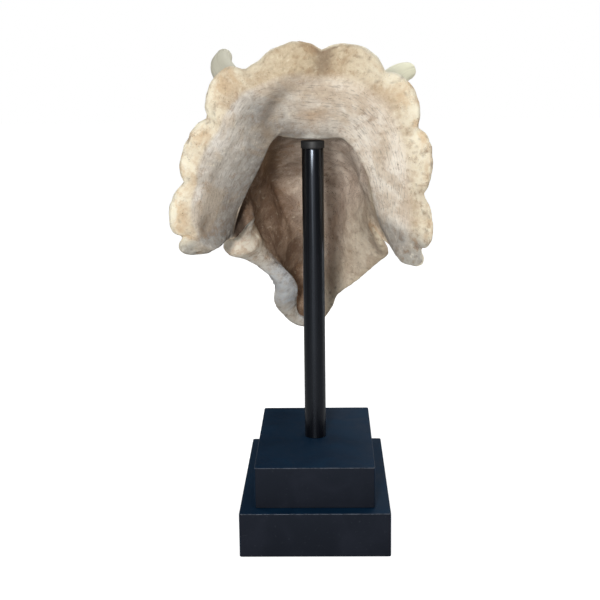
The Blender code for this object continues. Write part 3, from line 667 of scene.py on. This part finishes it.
def skin_marks(z, move):
    """What the finish reads at each point: the grounds, stains, wear, and painted light and shade.
    where the grounds lie and where stains and wear are.
    """
    lip_share = z.wall_back * (1 - ramp(z.back_u, 0.0, 0.62))
    # Grey wash near the lip, with painted shade: darker over the shaded left wall, in a patch where
    # arch and left wall meet, and at both low ends
    grey = lip_share * z.left + 0.75 * z.pocket
    grey += 0.45 * lip_share * (1 - z.left) * bell(z.theta, 0.25)
    grey += 0.8 * bell(z.theta - 0.25, 0.07) * bell(z.back_u - 0.42, 0.2) * z.wall_back
    grey += 0.45 * bell(z.theta - 0.02, 0.24) * (1 - ramp(z.back_u, 0.02, 0.2)) * z.wall_back
    grey += 0.85 * ramp(z.theta, 0.79, 0.87) * z.wall_back
    grey += 0.9 * ramp(-z.theta, 0.70, 0.80) * z.wall_back
    crest = 0.66 + 0.12 * bell(z.theta - 0.55, 0.25)
    slope = 0.07 * z.left
    wall = z.wall_back * (1 - ramp(z.back_u, crest - 0.09 + slope, crest + 0.12 - slope))
    # Painted shade: dark in the slot between the lip and the left cheek's pillar
    cleft_shade = 1.25 * ramp(z.at, 9.45, 9.9) * (1 - ramp(z.at, 11.6, 12.3)) * ramp(z.theta, 0.72, 0.86)
    # Painted shadow: a dark band slanting down and to the left across the rear wall
    shadow_band = bell(z.theta - 0.10 - 0.36 * (0.62 - z.back_u), 0.05) * bell(z.back_u - 0.42, 0.24)
    rust = bell(z.theta, 0.07) * bell(z.back_u - 0.27, 0.08) * z.wall_back
    rust += bell(z.theta - 0.30, 0.07) * bell(z.at - 9.2, 0.7) * z.within
    rust += 1.4 * ramp(-z.theta, 0.95, 0.99) * bell(z.at - 9.0, 0.8) * ramp(z.inside, 0.55, 0.8)
    # Darker in the relief's hollows, pits, grooves, cracks and notch lines, and painted shade on the
    # left wall by the lip
    recess_dark_and_shade = 0.5 * ramp(-move, 0.5, 5.0) + 0.8 * z.pits + 0.5 * z.groove + z.cracks
    recess_dark_and_shade += 0.3 * z.left * bell(z.back_u, 0.2) * z.wall_back
    recess_dark_and_shade += 0.15 * bell(z.from_notch, 0.012) * z.rim_side
    marks = {
        # Painted light: the hollow's brown gives way on the right to the lit wall colour
        "hollow": z.hollow * (1 - 0.7 * ramp(-z.theta, 0.42, 0.85)),
        "rim": z.rim_side,
        "wall": wall,
        # Painted shade: the top of the rear wall, near the rim, in darker tan
        "tan": bell(z.theta - 0.03, 0.22) * ramp(z.back_u, 0.5, 0.75) * z.wall_back,
        "left": z.left,
        "grey": grey,
        "recess_dark_and_shade": recess_dark_and_shade,
        # The knob: a pale end with painted light, as if it caught the lamp
        "knob": z.knob * 1.5,
        "cleft_shade": cleft_shade * z.within,
        "shadow_band": shadow_band * z.wall_back,
        "rust": rust,
        # Painted shade: the arch's wall, below the crease, darker
        "arch": bell(z.theta - 0.02, 0.26) * wall * (1 - 0.5 * ramp(z.back_u, 0.0, 0.2)),
        # Painted light: pale bluish lower edges of the face, mostly on the left
        "edge": z.edges * (1 - ramp(z.at, 8.4, 9.4)) * ramp(z.theta, -0.9, 0.5),
    }
    return {name: np.clip(mark, 0, 1) for name, mark in marks.items()}


def build_skin(finish):
    """The whole cast but for its horns, as one closed skin. Its relief fades on the collar's seat,
    where plaster is marked round the pole's axis."""
    points, quads, values = skin_grid()
    quads, used = weld_ends(points, quads)
    points = points[used]
    values = {key: value[used] for key, value in values.items()}
    z = zones(points, values)
    move = relief(points, z)
    marks = skin_marks(z, move)
    seat = bell(z.x - 4, 30) * ramp(z.at, 10.2, 11.4) * (1 - ramp(z.back_u, 0.0, 0.25)) * z.inside
    points = points + point_normals(points, quads) * (move * (1 - seat))[:, None]
    world = head_to_world(points)
    from_axis = np.hypot(world[:, 0], world[:, 1])
    marks["plaster"] = (1 - ramp(from_axis, 0.024, 0.034)) * (1 - ramp(world[:, 2], 0.688, 0.699))
    uv = np.column_stack([values["theta"] * 2, values["at"] * 0.1])
    return make_piece("cast_skin", world, quads, finish, marks, uv)


def around(rows, sides):
    """Point numbers of rows that close round an axis: the first column stands at both ends."""
    index = np.arange(rows * sides).reshape(rows, sides)
    return np.concatenate([index, index[:, :1]], 1)


def build_horn(name, path, finish, seed):
    """A horn: circles along the cubic line through its points, with a root that flares by an
    exponential, a half ball as its end, and long shallow ridges."""
    points, radii = [np.array(part, float) for part in zip(*path)]
    knots = np.concatenate([[0], np.cumsum(np.linalg.norm(np.diff(points, axis=0), axis=1))])
    share = np.linspace(0, 1, HORN_RINGS)
    at = share * knots[-1]
    middle = cubic(knots, points, at)
    tangent = unit(cubic(knots, points, at + 0.1) - cubic(knots, points, at - 0.1))
    first = unit(np.cross(tangent, [0.0, 1.0, 0.0]))
    second = np.cross(tangent, first)
    radius = cubic(knots, radii, at) * (1 + ROOT_FLARE * np.exp(-share * FLARE_FADE))
    angle = np.linspace(0, 2 * np.pi, HORN_SIDES, endpoint=False)
    cos, sin = np.cos(angle), np.sin(angle)
    circle = cos[:, None] * first[:, None] + sin[:, None] * second[:, None]
    tip, root = (middle[-1] + tangent[-1] * radius[-1])[None], middle[:1]
    ends = np.linspace(0, np.pi / 2, CAP_RINGS + 2)[1:-1]
    rise = np.sin(ends) * radius[-1]
    along = np.concatenate([at, at[-1] + rise])
    middle = np.concatenate([middle, middle[-1] + tangent[-1] * rise[:, None]])
    radius = np.concatenate([radius, radius[-1] * np.cos(ends)])
    circle = np.concatenate([circle, np.repeat(circle[-1:], CAP_RINGS, axis=0)])
    tube = middle[:, None] + circle * radius[:, None, None]
    rows, sides = tube.shape[:2]
    grain = np.broadcast_arrays(cos * 26, sin * 26, along[:, None] * 0.12)
    grain = np.stack(grain, -1).reshape(-1, 3)
    bumps = layered_noise(tube.reshape(-1, 3), 45.0, seed, 2, 0.9)
    bumps += layered_noise(grain, 7.0, seed + 5, 2, 0.45)
    calm = np.concatenate([np.ones(HORN_RINGS), np.cos(ends) ** 2])
    tube = tube + circle * bumps.reshape(rows, sides, 1) * calm[:, None, None]
    top = rows * sides
    here = np.arange(sides)
    after = (here + 1) % sides
    last = top - sides
    fans = [np.stack([a, b, np.full(sides, point), np.full(sides, point)], -1)
            for a, b, point in ((last + after, last + here, top), (here, after, top + 1))]
    quads = np.concatenate([grid_quads(around(rows, sides))[:, ::-1], *fans])
    points = np.concatenate([tube.reshape(-1, 3), tip, root])
    share = np.concatenate([np.repeat(along / along[-1], sides), [1.0, 0.0]])
    turn = np.concatenate([np.tile(angle / (2 * np.pi), rows), [0.5, 0.5]])
    uv = np.column_stack([turn, share])
    return make_piece(name, head_to_world(points), quads, finish, {"along": share}, uv)


def closed_rows(points):
    """Points and quads of rows of points that close round an axis, doubled points joined."""
    rows, sides = points.shape[:2]
    flat = points.reshape(-1, 3)
    quads, used = weld_ends(flat / MM, grid_quads(around(rows, sides))[:, ::-1])
    return flat[used], quads


def turned_piece(name, profile, finish):
    """A turned piece: each (radius, height) of the profile carried round the upright axis."""
    profile = np.asarray(profile, float)
    angle = np.linspace(0, 2 * np.pi, TURNED_SIDES, endpoint=False)
    body = profile[:, None, :1] * np.stack([np.cos(angle), np.sin(angle)], -1)[None]
    heights = np.broadcast_to(profile[:, None, 1:], body.shape[:2] + (1,))
    return make_piece(name, *closed_rows(np.concatenate([body, heights], -1)), finish)


def soft_edges(inset, bottom, top):
    """How far in and how high the rings of two softened edges are: one minus the sine and one minus
    the cosine of a quarter turn at the bottom, and the other way round at the top."""
    quarter = np.linspace(0, np.pi / 2, 6)
    low = [(inset * (1 - math.sin(q)), bottom + inset * (1 - math.cos(q))) for q in quarter]
    high = [(inset * (1 - math.cos(q)), top - inset * (1 - math.sin(q))) for q in quarter]
    return low + high


def rounded_block(name, size, bottom, finish):
    """A block with softened edges: rings of a rounded rectangle, closed by shrinking rings. All but
    the rear face has a painted reflection of blue sky, and the upper edge a light line of wear and
    painted highlight."""
    width, depth, height = size
    half = np.array([width / 2, depth / 2])
    turns = np.linspace(0, np.pi / 2, 8)
    arcs = []
    for quadrant, signs in enumerate(((1, 1), (-1, 1), (-1, -1), (1, -1))):
        a = turns + quadrant * np.pi / 2
        centre = np.array(signs) * (half - BLOCK_CORNER)
        arcs.append(centre + BLOCK_CORNER * np.stack([np.cos(a), np.sin(a)], -1))
    share = np.linspace(0, 1, 13)[:-1, None]
    sides = [a[-1] + (b[0] - a[-1]) * share for a, b in zip(arcs, arcs[1:] + arcs[:1])]
    outline = np.concatenate([part for arc, side in zip(arcs, sides) for part in (arc[:-1], side)])
    edges = soft_edges(BLOCK_SOFT, 0, height)
    rings = [(outline * scale, 0.0) for scale in (0.0, 0.35, 0.7)]
    rings += [(outline * (1 - inset / half), rise) for inset, rise in edges]
    rings += [(outline * scale, height) for scale in (0.7, 0.35, 0.0)]
    rows = [np.column_stack([flat, np.full(len(flat), rise)]) for flat, rise in rings]
    points, quads = closed_rows(np.array(rows))
    # Painted reflection: every face but the rear takes a blue sky colour
    rear = ramp(points[:, 1], depth / 2 - 0.0012, depth / 2 - 0.0003)
    # A light line below the top edge: wear and a painted highlight
    below_top = (height - points[:, 2]) / BLOCK_SOFT
    edge_wear_and_highlight = ((below_top < 0.8) & (below_top > 0.1)).astype(float)
    marks = {"sky_reflection": 1 - rear, "edge_wear_and_highlight": edge_wear_and_highlight}
    piece = make_piece(name, points + [0, 0, bottom], quads, finish, marks)
    piece.data.set_sharp_from_angle(angle=math.radians(BLOCK_SHARP))
    return piece


class Finish:
    """A Principled material and short calls that add nodes to it. Its colour starts as one ground,
    and each coat is mixed over what is there."""

    def __init__(self, name):
        self.material = bpy.data.materials.new(name)
        self.material.use_nodes = True
        self.tree = self.material.node_tree
        self.shader = self.tree.nodes["Principled BSDF"]
        coords = self.node("TexCoord")
        self.place, self.uv = coords.outputs["Object"], coords.outputs["UV"]

    def feed(self, node, **values):
        """Links outputs of other nodes to the inputs, or writes constants on the sockets."""
        for key, value in values.items():
            socket = node.inputs[int(key[1:]) if key[0] == "_" else key.replace("_", " ")]
            if hasattr(value, "is_linked"):
                self.tree.links.new(value, socket)
            else:
                socket.default_value = value

    def node(self, kind, **values):
        """A new node with these inputs: From_Min is the input From Min, and _1 the second one."""
        node = self.tree.nodes.new("ShaderNode" + kind)
        self.feed(node, **values)
        return node

    def mark(self, name):
        """The value that the mesh keeps at each point under this name."""
        node = self.node("Attribute")
        node.attribute_name = name
        return node.outputs["Fac"]

    def stretch(self, vector, scale):
        return self.node("Mapping", Vector=vector, Scale=scale).outputs["Vector"]

    def noise(self, vector, scale, detail, rough, warp=0.0):
        return self.node("TexNoise", Vector=vector, Scale=scale, Detail=detail, Roughness=rough,
                         Distortion=warp).outputs["Fac"]

    def span(self, value, low, high, out_low=0.0, out_high=1.0):
        """Smooth step of the value from low to high, given out between two other numbers."""
        node = self.node("MapRange", Value=value, From_Min=low, From_Max=high, To_Min=out_low,
                         To_Max=out_high)
        node.interpolation_type = "SMOOTHSTEP"
        return node.outputs["Result"]

    def product(self, first, *factors):
        """The product of the factors, held between nought and one."""
        for factor in factors:
            node = self.node("Math", _0=first, _1=factor)
            node.operation = "MULTIPLY"
            node.use_clamp = True
            first = node.outputs["Value"]
        return first

    def mix(self, share, a, b, blend="MIX"):
        """Two colours mixed: inputs 6 and 7 and output 2 are those for colours."""
        node = self.tree.nodes.new("ShaderNodeMix")
        node.data_type = "RGBA"
        node.blend_type = blend
        self.feed(node, _0=share, _6=a, _7=b)
        return node.outputs[2]

    def tone(self, noise, low, high, first, second):
        """Two colours that pass into each other where the noise goes from low to high."""
        return self.mix(self.span(noise, low, high), srgb(*first), srgb(*second))

    def coat(self, colour, *factors):
        """A colour over what is there, by the product of the factors."""
        self.colour = self.mix(self.product(*factors), self.colour, colour)

    def close(self, roughness, specular, bumps, tint=WHITE):
        """Gives the shader its colour and surface. The bumps are (height, strength, distance)."""
        normal = {}
        for height, strength, distance in bumps:
            node = self.node("Bump", Height=height, Strength=strength, Distance=distance, **normal)
            normal = {"Normal": node.outputs["Normal"]}
        self.feed(self.shader, Base_Color=self.colour, Roughness=roughness, **normal,
                  Specular_IOR_Level=specular, Specular_Tint=tint)
        return self.material


def srgb(*screen):
    """A colour given as it looks on a screen, from 0 to 255, made linear."""
    shares = [value / 255 for value in screen]
    return (*[v / 12.92 if v <= 0.04045 else ((v + 0.055) / 1.055) ** 2.4 for v in shares], 1.0)


def bone_finish():
    """Chalky cast bone: the grounds follow the marks of the skin, some as shaded and lit copies of
    one colour, and stains, wear, painted shade and a painted shadow lie over them."""
    f = Finish("cast_bone")
    noise = {name: f.noise(f.place, *numbers) for name, numbers in BONE_NOISE.items()}
    noise["streaks"] = f.noise(f.stretch(f.uv, (4.0, 30.0, 1.0)), 3.0, 5.0, 0.62, 0.3)
    hollow, rim, wall, left, knob = map(f.mark, ("hollow", "rim", "wall", "left", "knob"))
    stain = {name: srgb(*colour) for name, colour in BONE_STAINS.items()}

    def tone(name):
        source, *numbers = BONE_TONES[name]
        return f.tone(noise[source], *numbers)

    def where(source, *numbers):
        return f.span(noise[source], *numbers)

    f.colour = tone("cream")
    f.coat(tone("pale"), rim, where("broad", 0.38, 0.62, 1.0, 0.65))
    # Painted shade: tan over the top of the rear wall
    f.coat(tone("tan"), f.mark("tan"), 0.95)
    # Painted light and shade: lit sand on the right wall, shaded stone on the left
    f.coat(f.mix(left, tone("sand"), tone("stone")), wall)
    # Painted shade: silt brown over the arch's wall
    f.coat(tone("silt"), f.mark("arch"), 0.5)
    # Grey wash with painted shade
    f.coat(tone("ash"), f.mark("grey"), where("patch", 0.30, 0.6, 1.0, 0.72))
    # Painted light and shade: lit clay on the hollow's right, shaded umber on its left
    f.coat(f.mix(left, tone("clay"), tone("umber")), hollow)
    # Painted light: a pale bluish cool light on the lower edges
    f.coat(tone("cool_light_edge"), f.mark("edge"), where("blotch", 0.30, 0.62, 1.0, 0.7))
    f.coat(tone("pale_and_lit_end"), knob)

    f.coat(stain["brown"], where("blotch", 0.50, 0.70), where("broad", 0.42, 0.60, 0.35, 1.0), 0.55)
    f.coat(stain["rubbed"], where("blotch", 0.46, 0.30), where("fine", 0.45, 0.62), 0.5)
    f.coat(stain["ochre"], where("drift", 0.48, 0.62), wall, 0.42)
    f.coat(stain["rust"], f.mark("rust"), 0.6)
    # Painted shadow: the dark band on the rear wall
    f.coat(stain["shadow_band"], f.mark("shadow_band"), where("blotch", 0.25, 0.6, 0.92, 0.6))
    f.coat(stain["damp"], hollow, where("blotch", 0.40, 0.56), where("specks", 0.50, 0.64), 0.6)
    f.coat(stain["lines"], where("streaks", 0.50, 0.68), wall, 0.55)
    f.coat(stain["grime"], where("specks", 0.56, 0.70), where("blotch", 0.44, 0.60), 0.7)
    # Darker in the relief's hollows, and painted shade by the left lip
    f.coat(stain["recess_dark_and_shade"], f.mark("recess_dark_and_shade"), 0.65)
    # Painted light: the knob's pale colour again, over the darker coats
    f.coat(tone("pale_and_lit_end"), knob, 0.7)
    # Painted shade in the slot beside the left cheek
    f.coat(stain["cleft_shade"], f.mark("cleft_shade"), 0.85)
    f.coat(stain["plaster"], f.mark("plaster"), where("blotch", 0.3, 0.6, 0.9, 0.5))
    f.colour = f.mix(OVERLAY_SHARE, f.colour, noise["fine"], "OVERLAY")

    cells = f.node("TexVoronoi", Vector=f.place, Scale=260.0)
    pores = f.span(cells.outputs["Distance"], 0.06, 0.3)
    bumps = ((noise["blotch"], 0.35, 0.003), (noise["fine"], 0.55, 0.0016),
             (noise["streaks"], 0.15, 0.0012), (pores, 0.25, 0.0012))
    return f.close(0.86, 0.25, bumps)


def horn_finish(name, end_colour):
    """Horn bone: smoother greenish cream with fine lines along the horn and a paler end."""
    f = Finish(name)
    broad = f.noise(f.place, 14.0, 4.0, 0.55)
    lines = f.noise(f.stretch(f.uv, (60.0, 2.5, 1.0)), 1.0, 4.0, 0.6)
    fine = f.noise(f.place, 160.0, 4.0, 0.6)
    along = f.mark("along")
    f.colour = f.tone(broad, 0.35, 0.65, (205, 202, 186), (182, 178, 164))
    f.coat(end_colour, f.span(along, 0.50, 0.88, 0.0, 0.9))
    f.coat(f.tone(broad, 0.38, 0.62, (214, 200, 176), (188, 170, 146)), f.span(along, 0.36, 0.06))
    f.coat(srgb(150, 140, 118), f.span(lines, 0.52, 0.75), 0.4)
    return f.close(0.72, 0.3, ((lines, 0.3, 0.0015), (fine, 0.25, 0.001)))


def base_finish():
    """Black satin paint with a painted reflection of blue sky, faint brushing along the block, dull
    smears and dust.
    """
    f = Finish("base_paint")
    grain = f.noise(f.stretch(f.place, (60.0, 3.0, 60.0)), 4.0, 5.0, 0.6)
    smear = f.noise(f.place, 14.0, 4.0, 0.5, 0.6)
    dust = f.noise(f.place, 220.0, 3.0, 0.6)
    f.colour = f.tone(smear, 0.4, 0.7, (23, 25, 32), (29, 31, 39))
    # Painted reflection of blue sky on all but the rear face
    f.coat(f.tone(smear, 0.4, 0.7, (6, 31, 52), (10, 38, 60)), f.mark("sky_reflection"))
    # Wear and painted highlight along the upper edge
    f.coat(srgb(84, 88, 96), f.mark("edge_wear_and_highlight"), f.span(dust, 0.35, 0.6, 0.25, 0.8))
    f.coat(srgb(90, 95, 102), f.span(dust, 0.62, 0.8), 0.15)
    roughness = f.span(smear, 0.3, 0.7, 0.58, 0.70)
    return f.close(roughness, 0.14, ((grain, 0.08, 0.0006),), (0.55, 0.74, 1.0, 1.0))


def pole_finish():
    """Black gloss tube, with faint lines along it that spread the highlight a little."""
    f = Finish("pole_paint")
    lines = f.noise(f.stretch(f.place, (300.0, 300.0, 4.0)), 1.0, 3.0, 0.6)
    smear = f.noise(f.place, 18.0, 3.0, 0.5)
    f.colour = f.tone(smear, 0.35, 0.7, (6, 6, 8), (10, 10, 13))
    roughness = f.span(lines, 0.3, 0.7, 0.22, 0.31)
    return f.close(roughness, 0.62, ((lines, 0.03, 0.0004),), (0.74, 0.84, 1.0, 1.0))


def collar_finish():
    """Dark rubber, mottled, with a fine tooth."""
    f = Finish("collar_rubber")
    noise = f.noise(f.place, 300.0, 4.0, 0.6)
    f.colour = f.tone(noise, 0.35, 0.7, (22, 23, 25), (34, 36, 38))
    return f.close(0.55, 0.5, ((noise, 0.3, 0.0006),))


def aim_camera():
    """The camera where the photograph's was: behind the skull, a little above its middle."""
    data = bpy.data.cameras.new("camera")
    data.lens = LENS
    data.sensor_width = SENSOR
    camera = bpy.data.objects.new("camera", data)
    bpy.context.scene.collection.objects.link(camera)
    turns = ((180 - CAMERA_YAW, "Z"), (90 - CAMERA_PITCH, "X"), (CAMERA_ROLL, "Z"))
    yaw, pitch, roll = [Matrix.Rotation(math.radians(a), 4, axis) for a, axis in turns]
    camera.matrix_world = Matrix.Translation(CAMERA_AT) @ yaw @ pitch @ roll
    bpy.context.scene.camera = camera


def place_lamp(name, azimuth, elevation, distance, size, power, colour):
    """A rectangular soft lamp, aimed at the object from an angle and a distance."""
    data = bpy.data.lights.new(name, "AREA")
    data.shape = "RECTANGLE"
    data.size, data.size_y = size
    data.energy = power
    data.color = colour
    lamp = bpy.data.objects.new(name, data)
    bpy.context.scene.collection.objects.link(lamp)
    turn, rise = math.radians(azimuth), math.radians(elevation)
    level = math.cos(rise)
    way = Vector((math.sin(turn) * level, math.cos(turn) * level, math.sin(rise)))
    lamp.location = Vector(LAMPS_AIM) + way * distance
    lamp.rotation_euler = (-way).to_track_quat("-Z", "Y").to_euler()


def light_scene():
    """A surround that is white to the camera and lights dimly, and the lamps."""
    world = bpy.data.worlds.new("surround")
    bpy.context.scene.world = world
    world.use_nodes = True
    nodes = world.node_tree.nodes
    dim, white = nodes["Background"], nodes.new("ShaderNodeBackground")
    seen, choice = nodes.new("ShaderNodeLightPath"), nodes.new("ShaderNodeMixShader")
    dim.inputs["Color"].default_value = SURROUND
    dim.inputs["Strength"].default_value = SURROUND_STRENGTH
    white.inputs["Color"].default_value = WHITE
    for source, target in ((seen.outputs["Is Camera Ray"], choice.inputs[0]),
                           (dim.outputs[0], choice.inputs[1]),
                           (white.outputs[0], choice.inputs[2]),
                           (choice.outputs[0], nodes["World Output"].inputs["Surface"])):
        world.node_tree.links.new(source, target)
    for name, numbers in LAMPS.items():
        place_lamp(name, *numbers)
    bpy.context.scene.view_settings.view_transform = "Standard"


def lay_floor():
    """A plain pale floor that glows more with the distance where the camera sees it."""
    f = Finish("floor_paint")
    length = f.node("VectorMath", _0=f.place)
    length.operation = "LENGTH"
    seen = f.node("LightPath").outputs["Is Camera Ray"]
    glow = f.product(f.span(length.outputs["Value"], *FLOOR_GLOW), seen)
    f.feed(f.shader, Base_Color=FLOOR_GREY, Roughness=0.8, Emission_Color=WHITE,
           Emission_Strength=glow)
    share = np.linspace(-FLOOR_REACH, FLOOR_REACH, 3)
    points = np.array([(x, y, -FLOOR_DROP) for x in share for y in share])
    quads = grid_quads(np.arange(9).reshape(3, 3))[:, ::-1]
    floor = make_piece("floor", points, quads, f.material)


def dress(piece, slot, *nodes):
    """The piece rides on the root body and stands for these nodes. The slot is not used."""
    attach(piece, "root")
    if nodes:
        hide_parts(*nodes)


aim_camera()
light_scene()
lay_floor()

bone = bone_finish()
horn_grey = horn_finish("cast_horn", srgb(212, 208, 188))
# Painted light: a copy of the horn finish with a paler end, as if the horn were lit
horn_painted_light = horn_finish("cast_horn_painted_light", srgb(255, 252, 222))
base = base_finish()

dress(build_skin(bone), "cranium_bone", "cranium", "snout", "beak", "frill")
dress(build_horn("horn_left_skin", HORN_LEFT, horn_grey, 101),
      "horn_brow_left_bone", "horn_brow_left")
# The right horn takes the paler copy, painted light
dress(build_horn("horn_right_skin", HORN_RIGHT, horn_painted_light, 131),
      "horn_brow_right_bone", "horn_brow_right")
dress(build_horn("horn_nose_skin", HORN_NOSE, horn_grey, 151),
      "horn_nose_bone", "horn_nose")

upper_bottom = LOWER_BLOCK[2] + BLOCK_GAP
pole_bottom = upper_bottom + UPPER_BLOCK[2] + BLOCK_GAP
dress(rounded_block("plinth_lower_block", LOWER_BLOCK, 0.0, base),
      "stand_plinth_lower_black", "stand_plinth_lower")
dress(rounded_block("plinth_upper_block", UPPER_BLOCK, upper_bottom, base),
      "stand_plinth_upper_black", "stand_plinth_upper")

pole_profile = [(0, pole_bottom), (POLE_RADIUS, pole_bottom), (POLE_RADIUS, pole_bottom + 0.0005)]
pole_profile += [(POLE_RADIUS, z) for z in np.linspace(pole_bottom + 0.02, POLE_TOP - 0.002, 12)]
pole_profile += [(POLE_RADIUS - POLE_SOFT, POLE_TOP - 0.0005), (0, POLE_TOP - POLE_SOFT)]
dress(turned_piece("pole_tube", pole_profile, pole_finish()), "stand_pole_finish", "stand_pole")

collar_edges = soft_edges(COLLAR_SOFT, POLE_TOP, COLLAR_TOP)
collar_profile = [(0, POLE_TOP)] + [(COLLAR_RADIUS - inset, z) for inset, z in collar_edges]
collar_profile += [(0, COLLAR_TOP)]
dress(turned_piece("collar_ring", collar_profile, collar_finish()),
      "stand_collar_finish", "stand_collar")
